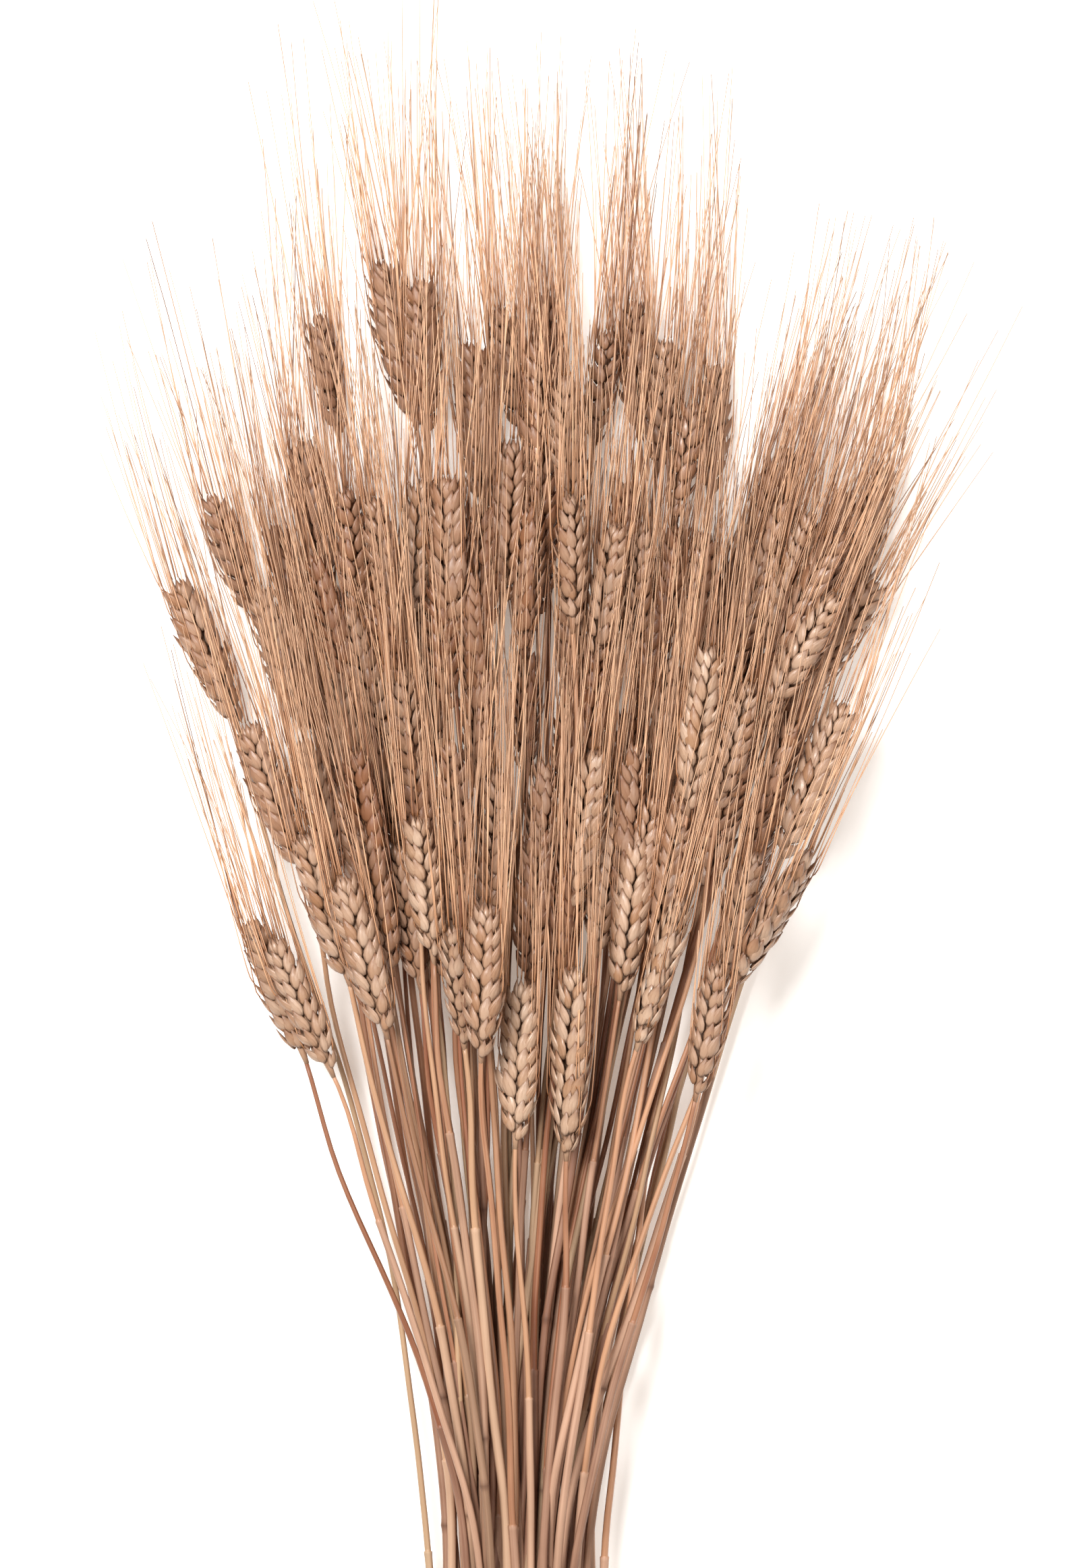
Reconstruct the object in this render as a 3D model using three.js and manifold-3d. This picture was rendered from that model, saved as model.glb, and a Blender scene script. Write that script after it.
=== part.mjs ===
// A bundle of dried bearded wheat, tied round with twine and lying on its side.
// Millimetres, +Z up. The stalks run along Y, cut ends towards -Y and awn tips towards +Y.
// The origin is on the surface the bundle lies on, below the middle of its outline.
import * as THREE from 'three';
import { mergeVertices } from 'three/addons/utils/BufferGeometryUtils.js';
import Module from 'manifold-3d';

// ---- sizes of a stalk
const stemRadiusAtCut = 1.7; // the thick lower end, with its dry leaf sheath
const stemRadiusAtNeck = 1.0; // just below the ear
const earRadius = 6.6; // at its thickest, over the husks
const tuftRadiusAtEar = 4.6; // the awns where they leave the top of the ear
const tuftRadiusAtTip = 1.1; // and where they end, drawn together
const tuftLength = 92; // from the top of the ear to the awn tips
const tuftUnevenness = 16; // the longest tuft less the shortest
const stalkSides = 6; // facets round a stalk

// ---- sizes of the bundle
const fanHalfWidth = 130; // from the middle to the furthest ear base
const highestEarBase = 470; // from the tie to the base of the highest ear
const cutLength = 72; // from the tie to the cut ends
const cutUnevenness = 9; // the longest cut end less the shortest
const cutFlare = 1.14; // how much wider the cut ends stand than the tie
const neckBend = 0.6; // share of an ear's lean that its stem has taken on at the neck
const awnStraightening = 0.25; // share of an ear's lean that its awns give up
const fanRise = 0.014; // rise per length of a free stem, for each mm it lies above the tie's middle
const steepestDroop = 0.05; // fall per length of a stalk past what it lay on

// ---- sizes of the tie
const slotGap = 1.35; // between neighbouring stems in the tie
const tieFlatness = 3.4; // width of the gathered stems over their height
const twineRadius = 1.5;
const twineTurns = 5;
const twineTurnGap = 0.4; // between one turn and the next
const twineClearance = 0.35; // between the twine and the stems it holds
const twineSides = 6;
const twineStepsPerTurn = 30;
const knotLength = 11;
const knotWidth = 8;
const knotHeight = 5.5;
const knotEndLength = 15; // each trimmed end, from the middle of the knot
const knotClearance = 0.35; // between the knot and the winding below it

const stalkClearance = 0.4; // kept where one stalk lies on another
const probeStep = 4; // how closely two stalks are compared along their length

// One line per ear: how far its base stands from the middle (percent of fanHalfWidth, + is right),
// how far it is from the tie (percent of highestEarBase), how far it leans (degrees, + is right)
// and how long it is (mm).
const arrangement = [
  // left side, low to high
  [-55, 47, -24, 54], [-63, 48, -21, 56], [-39, 50, -16, 61], [-50, 54, -17, 58],
  [-64, 63, -21, 60], [-54, 63, -15, 52], [-84, 75, -23, 60], [-65, 75, -17, 55],
  [-79, 84, -20, 50], [-58, 86, -9, 59], [-48, 70, -12, 50], [-39, 74, -18, 52],
  [-36, 83, -10, 50], [-32, 84, 5, 52], [-31, 100, -12, 64], [-28, 99, -2, 60],
  [-54, 99, -10, 48],
  // middle, high to low
  [-10, 93, -5, 64], [-5, 85, 4, 63], [-20, 82, -2, 62], [1, 99, -9, 50],
  [7, 94, -1, 61], [17, 92, -5, 54], [22, 98, 8, 45], [16, 83, -1, 50],
  [41, 96, 5, 50], [57, 94, 3, 51], [36, 99, -3, 52], [10, 100, -2, 50],
  [46, 92, 10, 45], [-31, 69, -5, 50], [-7, 60, 1, 52],
  // right side, high to low
  [66, 83, 21, 53], [68, 88, 19, 50], [74, 81, 18, 56], [75, 80, 28, 57],
  [99, 85, 14, 56], [79, 76, 35, 62], [73, 76, 30, 52], [59, 68, 14, 50],
  [50, 68, 8, 63], [40, 70, 9, 50], [23, 80, 8, 54], [34, 81, 4, 50],
  [16, 60, 8, 60], [30, 53, 7, 60], [35, 49, 17, 58], [60, 54, 15, 51],
  [63, 54, 30, 58], [77, 64, 23, 65], [52, 45, 10, 50],
  // front, the shortest stalks
  [-1, 41, 2, 61], [14, 40, 3, 72], [-11, 48, 2, 58], [-25, 56, -7, 54],
  [-19, 57, -3, 50], [-16, 49, -6, 45],
];

const wasm = await Module();
wasm.setup();

const straw = new THREE.MeshStandardMaterial({ color: 0xc9a284, roughness: 0.75, metalness: 0 });
const jute = new THREE.MeshStandardMaterial({ color: 0x9c7b55, roughness: 0.95, metalness: 0 });

const windingWidth = twineTurns * (2 * twineRadius + twineTurnGap) - twineTurnGap;
const heldLength = windingWidth / 2 + twineRadius; // stems run straight this far either side of the tie

// Values from -0.5 to 0.5 that differ from one stalk to the next.
const unevenFor = (index) => ((index * 7) % 11) / 10 - 0.5;

// Places for the stems where they are tied: rows of a close packing, cut to an ellipse.
function packSlots(count) {
  const pitch = 2 * stemRadiusAtCut + slotGap;
  const reach = Math.ceil(Math.sqrt(count * tieFlatness)) + 1;
  const places = [];
  for (let row = -reach; row <= reach; row++) {
    for (let column = -reach; column <= reach; column++) {
      const x = (column + (row % 2 === 0 ? 0 : 0.5)) * pitch;
      const z = row * pitch * Math.sin(Math.PI / 3);
      places.push({ row, x, z, distance: Math.hypot(x, z * tieFlatness) });
    }
  }
  places.sort((a, b) => a.distance - b.distance || a.z - b.z || a.x - b.x);
  return places.slice(0, count);
}

// Half the width of the smallest ellipse of the tie's flatness that clears every stem in it.
function halfWidthRound(slots) {
  const roundness = Math.cos(Math.PI / twineStepsPerTurn); // the winding is a polygon
  let half = 0;
  for (const slot of slots) {
    for (let step = 0; step < 24; step++) {
      const angle = (step * Math.PI) / 12;
      const x = slot.x + (stemRadiusAtCut + twineClearance) * Math.cos(angle);
      const z = slot.z + (stemRadiusAtCut + twineClearance) * Math.sin(angle);
      half = Math.max(half, Math.hypot(x, z * tieFlatness) / roundness);
    }
  }
  return half;
}

const slots = packSlots(arrangement.length);
const tieHalfWidth = halfWidthRound(slots);
const tieHalfHeight = tieHalfWidth / tieFlatness;
const tieHeight = tieHalfHeight + 2 * twineRadius; // of the tie's middle, over the surface

const neck = 7; // the ring at the foot of a stalk's ear

// A stalk as rings square to Y: how far along, how far across, and the radius there.
function layOutRings({ across, along, lean, earLength, index, slot }) {
  const slope = Math.tan(lean);
  const tuftLean = lean * (1 - awnStraightening);
  const cutEnd = -cutLength - cutUnevenness * unevenFor(index);
  const stemLength = along - heldLength;
  const earSpan = earLength * Math.cos(lean);
  const tuftSpan = (tuftLength + tuftUnevenness * unevenFor(index + 5)) * Math.cos(tuftLean);
  const endSlope = neckBend * slope;

  const rings = [
    { y: cutEnd, x: slot.x * cutFlare, r: stemRadiusAtCut },
    { y: -heldLength, x: slot.x, r: stemRadiusAtCut },
    { y: heldLength, x: slot.x, r: stemRadiusAtCut },
  ];
  for (const t of [0.2, 0.4, 0.6, 0.8, 1]) {
    // A cubic that leaves the tie parallel to Y and reaches the neck at the end slope.
    const blend = t * t * (3 - 2 * t);
    const x = slot.x + (across - slot.x) * blend + endSlope * stemLength * t * t * (t - 1);
    const r = stemRadiusAtCut + (stemRadiusAtNeck - stemRadiusAtCut) * t;
    rings.push({ y: heldLength + stemLength * t, x, r });
  }
  const ear = [
    [0.12, 0.68 * earRadius],
    [0.4, earRadius],
    [0.78, 0.86 * earRadius],
    [1, tuftRadiusAtEar],
  ];
  for (const [share, r] of ear) {
    rings.push({ y: along + earSpan * share, x: across + slope * earSpan * share, r });
  }
  const top = rings.at(-1);
  for (const share of [0.5, 1]) {
    const r = tuftRadiusAtEar + (tuftRadiusAtTip - tuftRadiusAtEar) * share;
    rings.push({
      y: top.y + tuftSpan * share,
      x: top.x + Math.tan(tuftLean) * tuftSpan * share,
      r,
    });
  }
  return rings;
}

// Where a stalk is at one distance along, between its two nearest rings.
function sectionAt(rings, y) {
  const next = Math.min(Math.max(rings.findIndex((ring) => ring.y >= y), 1), rings.length - 1);
  const [a, b] = [rings[next - 1], rings[next]];
  const t = (y - a.y) / (b.y - a.y);
  return {
    x: a.x + (b.x - a.x) * t,
    z: a.z + (b.z - a.z) * t,
    r: a.r + (b.r - a.r) * t,
  };
}

// The least height a stalk's middle may have at one distance along: on the surface, or on what lies there.
function restingHeight(rings, laid, y) {
  const own = sectionAt(rings, y);
  let height = own.r;
  for (const other of laid) {
    if (y < other[0].y || y > other.at(-1).y) {
      continue;
    }
    const below = sectionAt(other, y);
    const reach = own.r + below.r + stalkClearance;
    const aside = Math.abs(own.x - below.x);
    if (aside < reach) {
      height = Math.max(height, below.z + Math.sqrt(reach * reach - aside * aside));
    }
  }
  return height;
}

// The lowest heights that clear every bound with no sag between two of them.
function bridge(points) {
  return points.map(({ y, least }, here) => {
    let height = least;
    for (let i = 0; i < here; i++) {
      for (let j = here + 1; j < points.length; j++) {
        const t = (y - points[i].y) / (points[j].y - points[i].y);
        height = Math.max(height, points[i].least + (points[j].least - points[i].least) * t);
      }
    }
    return height;
  });
}

// Sets the height of each ring: fixed in the tie, and from there resting on the stalks laid before,
// or above them where the stem is stiff enough to keep rising from the tie up to its neck.
function layDown(rings, slot, laid) {
  const top = tieHeight + slot.z;
  rings[0].z = Math.max(tieHeight + slot.z * cutFlare, stemRadiusAtCut);
  rings[1].z = top;
  rings[2].z = top;
  const points = [{ y: rings[2].y, least: top }];
  for (let k = 3; k < rings.length; k++) {
    const from = rings[k - 1].y;
    const to = rings[Math.min(k + 1, rings.length - 1)].y;
    const probes = Math.ceil((to - from) / probeStep);
    let least = 0;
    for (let probe = 0; probe <= probes; probe++) {
      least = Math.max(least, restingHeight(rings, laid, from + ((to - from) * probe) / probes));
    }
    points.push({ y: rings[k].y, least });
  }
  bridge(points).forEach((height, k) => {
    const ring = rings[k + 2];
    const before = rings[k + 1];
    const free = top + fanRise * slot.z * (Math.min(ring.y, rings[neck].y) - rings[2].y);
    const fallen = before.z - steepestDroop * (ring.y - before.y);
    ring.z = k === 0 ? top : Math.max(height, free, fallen);
  });
}

// A round body on the Y axis with the rings' radii, each ring then moved to its place.
function stalkGeometry(rings) {
  const outline = [
    new THREE.Vector2(0, rings[0].y),
    ...rings.map((ring) => new THREE.Vector2(ring.r, ring.y)),
    new THREE.Vector2(0, rings.at(-1).y),
  ];
  const geometry = new THREE.LatheGeometry(outline, stalkSides);
  const position = geometry.attributes.position;
  for (let i = 0; i < position.count; i++) {
    const ring = rings[THREE.MathUtils.clamp((i % outline.length) - 1, 0, rings.length - 1)];
    position.setX(i, position.getX(i) + ring.x);
    position.setZ(i, position.getZ(i) + ring.z);
  }
  return geometry;
}

// The twine's middle line: turns round the gathered stems, from the top and back to it.
class Winding extends THREE.Curve {
  getPoint(t, target = new THREE.Vector3()) {
    const angle = t * twineTurns * 2 * Math.PI;
    const x = (tieHalfWidth + twineRadius) * Math.sin(angle);
    const z = tieHeight + (tieHalfHeight + twineRadius) * Math.cos(angle);
    const pitch = 2 * twineRadius + twineTurnGap;
    return target.set(x, pitch * twineTurns * (t - 0.5), z);
  }
}

function twineAlong(curve, steps) {
  const section = new THREE.Shape();
  for (let side = 0; side < twineSides; side++) {
    const angle = (side * 2 * Math.PI) / twineSides;
    const [x, y] = [twineRadius * Math.cos(angle), twineRadius * Math.sin(angle)];
    if (side === 0) {
      section.moveTo(x, y);
    } else {
      section.lineTo(x, y);
    }
  }
  return new THREE.ExtrudeGeometry(section, { steps, extrudePath: curve, curveSegments: 1 });
}

function toSolid(geometry) {
  const bare = geometry.clone();
  bare.deleteAttribute('normal');
  bare.deleteAttribute('uv');
  const merged = mergeVertices(bare, 1e-4);
  return new wasm.Manifold(new wasm.Mesh({
    numProp: 3,
    vertProperties: Float32Array.from(merged.attributes.position.array),
    triVerts: Uint32Array.from(merged.index.array),
  }));
}

function toGeometry(solid) {
  const mesh = solid.getMesh();
  const geometry = new THREE.BufferGeometry();
  geometry.setAttribute('position', new THREE.BufferAttribute(mesh.vertProperties, 3));
  geometry.setIndex(new THREE.BufferAttribute(mesh.triVerts, 1));
  return geometry;
}

// The knot: a rounded lump with a trimmed end of twine out of each side.
function knotGeometry() {
  const lump = new THREE.SphereGeometry(0.5, 14, 8);
  lump.scale(knotLength, knotWidth, knotHeight);
  let knot = toSolid(lump);
  for (const side of [-1, 1]) {
    const rise = 0.5; // each end stands a little clear of the winding
    const end = new THREE.QuadraticBezierCurve3(
      new THREE.Vector3(0, 0, 0),
      new THREE.Vector3(side * knotEndLength * 0.6, 0, 0),
      new THREE.Vector3(side * knotEndLength * 0.9, knotEndLength * 0.4, rise),
    );
    knot = knot.add(toSolid(twineAlong(end, 6)));
  }
  return toGeometry(knot);
}

const bundle = new THREE.Group();

function addPiece(name, geometry, material) {
  const piece = new THREE.Mesh(geometry, material);
  piece.name = name;
  bundle.add(piece);
  return piece;
}

// The longest stalks are laid first and lie lowest; the shortest end up on top.
const stalks = arrangement.map(([across, along, lean, earLength], index) => ({
  across: (across / 100) * fanHalfWidth,
  along: (along / 100) * highestEarBase,
  lean: THREE.MathUtils.degToRad(lean),
  earLength,
  index,
}));
const layingOrder = [...stalks].sort((a, b) => b.along - a.along || a.index - b.index);

// Row by row from the lowest, the tie's places go to the next stalks, left to right as their ears are.
const rows = [...new Set(slots.map((slot) => slot.row))].sort((a, b) => a - b);
let placed = 0;
for (const row of rows) {
  const rowSlots = slots.filter((slot) => slot.row === row).sort((a, b) => a.x - b.x);
  const rowStalks = layingOrder.slice(placed, placed + rowSlots.length);
  rowStalks.sort((a, b) => a.across - b.across);
  rowStalks.forEach((stalk, place) => {
    stalk.slot = rowSlots[place];
  });
  placed += rowSlots.length;
}

const laid = [];
for (const stalk of layingOrder) {
  const rings = layOutRings(stalk);
  layDown(rings, stalk.slot, laid);
  laid.push(rings);
  const number = String(stalk.index + 1).padStart(2, '0');
  addPiece(`wheat_stalk_${number}`, stalkGeometry(rings), straw);
}

addPiece('twine_binding', twineAlong(new Winding(), twineTurns * twineStepsPerTurn), jute);
const knot = addPiece('twine_knot', knotGeometry(), jute);
knot.position.z = 2 * tieHeight + knotClearance + knotHeight / 2;

const outline = new THREE.Box3().setFromObject(bundle);
const middle = outline.getCenter(new THREE.Vector3());
bundle.position.set(-middle.x, -middle.y, -outline.min.z);

export default bundle;
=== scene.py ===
import bpy
import numpy as np
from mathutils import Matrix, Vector


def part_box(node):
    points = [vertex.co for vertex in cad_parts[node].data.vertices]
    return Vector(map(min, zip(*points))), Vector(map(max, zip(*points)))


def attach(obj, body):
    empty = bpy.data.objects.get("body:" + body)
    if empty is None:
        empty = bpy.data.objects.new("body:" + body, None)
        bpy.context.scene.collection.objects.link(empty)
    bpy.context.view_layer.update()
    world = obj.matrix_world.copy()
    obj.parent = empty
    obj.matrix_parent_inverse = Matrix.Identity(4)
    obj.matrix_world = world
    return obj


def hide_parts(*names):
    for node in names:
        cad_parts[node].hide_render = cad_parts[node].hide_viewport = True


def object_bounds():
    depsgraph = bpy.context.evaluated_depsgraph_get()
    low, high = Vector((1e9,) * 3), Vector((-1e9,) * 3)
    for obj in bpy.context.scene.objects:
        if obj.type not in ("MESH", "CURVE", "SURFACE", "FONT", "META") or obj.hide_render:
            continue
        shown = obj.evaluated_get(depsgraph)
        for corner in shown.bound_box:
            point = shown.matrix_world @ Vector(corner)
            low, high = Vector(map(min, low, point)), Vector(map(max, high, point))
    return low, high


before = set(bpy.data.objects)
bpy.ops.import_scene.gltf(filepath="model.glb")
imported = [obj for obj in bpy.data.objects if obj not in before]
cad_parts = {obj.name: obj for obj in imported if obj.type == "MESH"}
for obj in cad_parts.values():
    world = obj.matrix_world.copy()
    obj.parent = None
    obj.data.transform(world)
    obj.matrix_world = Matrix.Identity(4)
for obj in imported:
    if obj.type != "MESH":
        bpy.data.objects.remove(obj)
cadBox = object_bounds()
print("solids loaded:", len(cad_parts))

mm = 0.001
lowest = 0.08  # mm, nothing sinks below this over the surface
ringGap = 0.05  # mm between corners that are on different rings of a solid, at least


def unit(vectors):
    return vectors / np.linalg.norm(vectors, axis=-1, keepdims=True)


# The height at a place of a line through points, each given as place and height.
def heightAt(points, place):
    return np.interp(place, *np.array(points).T)


# Closed bodies from rings of points: rings[b, s, n] is point n round section s of body b.
# A quad joins each pair of neighbours, and both end rings close on their middle point.
# u runs round a ring from 0 to 1, and v is given per body and section. look holds three numbers
# per body and section that the materials read.
def skin(rings, v, look, slot):
    bodies, sections, sides, _ = rings.shape
    ends = np.stack([rings[:, 0].mean(1), rings[:, -1].mean(1)], 1)
    points = np.concatenate([rings.reshape(bodies, -1, 3), ends], 1)
    here = np.arange(sections * sides).reshape(sections, sides)
    beside = np.roll(here, -1, 1)
    quads = np.stack([here[:-1], beside[:-1], beside[1:], here[1:]], -1).reshape(-1, 4)
    middle = np.full(sides, sections * sides)
    fans = np.concatenate([np.stack([middle, beside[0], here[0]], -1),
                           np.stack([middle + 1, here[-1], beside[-1]], -1)])
    first = (np.arange(bodies) * points.shape[1])[:, None, None]

    u = np.arange(sides + 1) / sides
    u0 = np.broadcast_to(u[:-1], (bodies, sections - 1, sides))
    u1 = np.broadcast_to(u[1:], u0.shape)
    v0 = np.broadcast_to(v[:, :-1, None], u0.shape)
    v1 = np.broadcast_to(v[:, 1:, None], u0.shape)
    quadUv = np.stack([np.stack([u0, u1, u1, u0], -1), np.stack([v0, v0, v1, v1], -1)], -1)
    fanU = np.concatenate([np.stack([u[:-1] + 0.5 / sides, u[1:], u[:-1]], -1),
                           np.stack([u[:-1] + 0.5 / sides, u[:-1], u[1:]], -1)])
    fanU = np.broadcast_to(fanU, (bodies, 2 * sides, 3))
    fanV = np.repeat(np.stack([v[:, 0], v[:, -1]], 1), sides, 1)[:, :, None]
    fanUv = np.stack([fanU, np.broadcast_to(fanV, fanU.shape)], -1)

    perPoint = np.concatenate([np.repeat(look, sides, 1), look[:, :1], look[:, -1:]], 1)
    return {
        "points": points.reshape(-1, 3),
        "look": perPoint.reshape(-1, 3),
        "quads": (quads[None] + first).reshape(-1, 4),
        "fans": (fans[None] + first).reshape(-1, 3),
        "quadUv": quadUv.reshape(-1, 2),
        "fanUv": fanUv.reshape(-1, 2),
        "slot": slot,
    }


# One object from several skins, each in the material slot that it names.
def makePiece(name, skins, materials):
    counts = np.array([len(s["points"]) for s in skins])
    starts = np.cumsum(counts) - counts
    points = np.concatenate([s["points"] for s in skins])
    points[:, 2] = np.maximum(points[:, 2], lowest)
    quads = np.concatenate([s["quads"] + start for s, start in zip(skins, starts)])
    fans = np.concatenate([s["fans"] + start for s, start in zip(skins, starts)])
    corners = np.concatenate([quads.ravel(), fans.ravel()]).astype(np.int32)
    loopStarts = np.concatenate([np.arange(len(quads)) * 4,
                                 len(quads) * 4 + np.arange(len(fans)) * 3]).astype(np.int32)
    slots = np.concatenate([np.full(len(s["quads"]), s["slot"]) for s in skins]
                           + [np.full(len(s["fans"]), s["slot"]) for s in skins]).astype(np.int32)
    uv = np.concatenate([s["quadUv"] for s in skins] + [s["fanUv"] for s in skins])
    look = np.concatenate([s["look"] for s in skins])

    mesh = bpy.data.meshes.new(name)
    mesh.vertices.add(len(points))
    mesh.vertices.foreach_set("co", (points * mm).astype(np.float32).ravel())
    mesh.loops.add(len(corners))
    mesh.loops.foreach_set("vertex_index", corners)
    mesh.polygons.add(len(loopStarts))
    mesh.polygons.foreach_set("loop_start", loopStarts)
    mesh.polygons.foreach_set("material_index", slots)
    mesh.polygons.foreach_set("use_smooth", np.ones(len(loopStarts), bool))
    mesh.uv_layers.new(name="UVMap").data.foreach_set("uv", uv.astype(np.float32).ravel())
    mesh.attributes.new("look", "FLOAT_VECTOR", "POINT").data.foreach_set(
        "vector", look.astype(np.float32).ravel())
    for material in materials:
        mesh.materials.append(material)
    mesh.update(calc_edges=True)
    mesh.validate()
    piece = bpy.data.objects.new(name, mesh)
    bpy.context.scene.collection.objects.link(piece)
    return piece


# An sRGB hex colour as linear light: a straight line near black, and a power of 2.4 above it.
def linear(hexColour):
    parts = np.array([int(hexColour[i:i + 2], 16) for i in (1, 3, 5)]) / 255
    parts = np.where(parts <= 0.04045, parts / 12.92, ((parts + 0.055) / 1.055) ** 2.4)
    return (*parts, 1.0)


# Adds one node: settings on it, then its inputs, each a value, another node's output, or another
# node for its first output.
def addNode(tree, kind, inputs=None, **settings):
    node = tree.nodes.new(kind)
    for name, value in settings.items():
        setattr(node, name, value)
    for name, value in (inputs or {}).items():
        if isinstance(value, bpy.types.Node):
            value = value.outputs[0]
        if isinstance(value, bpy.types.NodeSocket):
            tree.links.new(value, node.inputs[name])
        else:
            node.inputs[name].default_value = value
    return node


def newMaterial(name):
    material = bpy.data.materials.new(name)
    material.use_nodes = True
    material.node_tree.nodes.clear()
    return material, material.node_tree


# Straw, dried on the stalk: hollow cellulose with a thin wax skin. Fine ribs run its whole length,
# the bare neck is reddish gold and shines, and the leaf sheath round the lower part is paler and
# dull. Its look holds the stalk's tone, deeper on the inner stalks as painted shade, 1 on the
# sheath, and 1 where a joint is dark or where the bore has painted shade.
strawLook = {
    "bare": "#C29270", "bareDeep": "#855137",
    "sheath": "#C49B80", "sheathDeep": "#815944", "yellowed": "#B49A78",
    # joint: the dark of a joint, also used as painted shade in the bore of the cut end
    "joint": "#5A3826",
    "ribsRound": 26,  # 0.36 mm apart on 3 mm of straw, a little coarser than the real, to show
    "streakLength": 60,  # mm
    "blotches": 45.0,  # to a metre, so that one is about 22 mm
    "folds": 9.0, "mostYellow": 0.65,  # how often the tone goes up and down again, and the share
    "gloss": 0.40, "dull": 0.62,  # roughness of the bare neck and of the sheath
    "ribDepth": 0.00018,  # m
}


def strawMaterial(look):
    material, tree = newMaterial("dried_straw")
    uv = addNode(tree, "ShaderNodeUVMap", uv_map="UVMap")
    seen = addNode(tree, "ShaderNodeAttribute", attribute_name="look").outputs["Vector"]
    tone, sheath, joint = addNode(tree, "ShaderNodeSeparateXYZ", {"Vector": seen}).outputs
    # A streak is three ribs wide, and a rib runs nearly the whole length.
    streaksRound = look["ribsRound"] / 3
    streakPlace = addNode(tree, "ShaderNodeMapping",
                          {"Vector": uv, "Scale": (streaksRound, 1 / look["streakLength"], 1)})
    streaks = addNode(tree, "ShaderNodeTexNoise", {"Vector": streakPlace, "Scale": 1.0, "Detail": 4.0})
    ribPlace = addNode(tree, "ShaderNodeMapping", {"Vector": uv, "Scale": (look["ribsRound"], 0.02, 1)})
    ribs = addNode(tree, "ShaderNodeTexNoise", {"Vector": ribPlace, "Scale": 1.0, "Detail": 1.0})
    place = addNode(tree, "ShaderNodeTexCoord").outputs["Object"]
    blotches = addNode(tree, "ShaderNodeTexNoise",
                       {"Vector": place, "Scale": look["blotches"], "Detail": 3.0})

    # The stalk's tone (raised on the inner stalks as painted shade), its streaks and slow blotches
    # together choose between light and deep.
    mixture = addNode(tree, "ShaderNodeMath", {0: streaks, 1: 0.9}, operation="MULTIPLY")
    mixture = addNode(tree, "ShaderNodeMath", {0: tone, 1: 0.75, 2: mixture},
                      operation="MULTIPLY_ADD")
    mixture = addNode(tree, "ShaderNodeMath", {0: blotches, 1: 0.5, 2: mixture},
                      operation="MULTIPLY_ADD")
    deep = addNode(tree, "ShaderNodeMapRange", {"Value": mixture, "From Min": 0.65, "From Max": 1.45})
    bare = addNode(tree, "ShaderNodeMix",
                   {0: deep, 6: linear(look["bare"]), 7: linear(look["bareDeep"])},
                   data_type="RGBA")
    dull = addNode(tree, "ShaderNodeMix",
                   {0: deep, 6: linear(look["sheath"]), 7: linear(look["sheathDeep"])},
                   data_type="RGBA")
    skinColour = addNode(tree, "ShaderNodeMix", {0: sheath, 6: bare.outputs[2], 7: dull.outputs[2]},
                         data_type="RGBA")
    # Half of the stalks are yellowed, some more than others: the tone folded up and down between
    # 0 and 1 again and again sets them apart from the deep ones.
    yellow = addNode(tree, "ShaderNodeMath", {0: tone, 1: look["folds"]}, operation="MULTIPLY")
    yellow = addNode(tree, "ShaderNodeMath", {0: yellow, 1: 1.0}, operation="PINGPONG")
    yellow = addNode(tree, "ShaderNodeMapRange",
                     {"Value": yellow, "From Min": 0.5, "From Max": 1.0,
                      "To Max": look["mostYellow"]})
    skinColour = addNode(tree, "ShaderNodeMix",
                         {0: yellow, 6: skinColour.outputs[2], 7: linear(look["yellowed"])},
                         data_type="RGBA")
    # The joint's own dark colour, and painted shade in the bore and on the cut face round it.
    colour = addNode(tree, "ShaderNodeMix",
                     {0: joint, 6: skinColour.outputs[2], 7: linear(look["joint"])}, data_type="RGBA")
    roughness = addNode(tree, "ShaderNodeMapRange",
                        {"Value": sheath, "To Min": look["gloss"], "To Max": look["dull"]})
    bump = addNode(tree, "ShaderNodeBump",
                   {"Height": ribs, "Strength": 0.55, "Distance": look["ribDepth"]})
    surface = addNode(tree, "ShaderNodeBsdfPrincipled",
                      {"Base Color": colour.outputs[2], "Roughness": roughness,
                       "Normal": bump, "IOR": 1.48})
    addNode(tree, "ShaderNodeOutputMaterial", {"Surface": surface})
    return material


# Chaff: the papery husks of the ear, dried hard. Each is smooth and softly shining, with brown
# nerves from its foot to its browner point, and no two are quite one colour. The ears of the
# highest stalks are golden brown, partly with age and partly as painted shade, since they lie
# deeper in the bundle, and the low ones a pale pinkish grey; the inner stalks' ears get more
# painted shade. Its look holds the husk's tone, the share of its length, and the age and painted
# shade of the ear.
chaffLook = {
    # agedAndShaded: the golden brown of older ears, also painted as shade on the high and inner ears
    "pale": "#C4A68D", "warm": "#A27857", "agedAndShaded": "#7E4C2D", "tip": "#693C23",
    "nerves": 22,  # round a husk, 0.5 mm apart
    "mottling": 420.0,  # to a metre, so that a spot is about 2.4 mm
    "gloss": 0.28, "dull": 0.5,  # roughness of the smoothest and the dullest spots
    "nerveDepth": 0.00024,  # m
}


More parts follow.
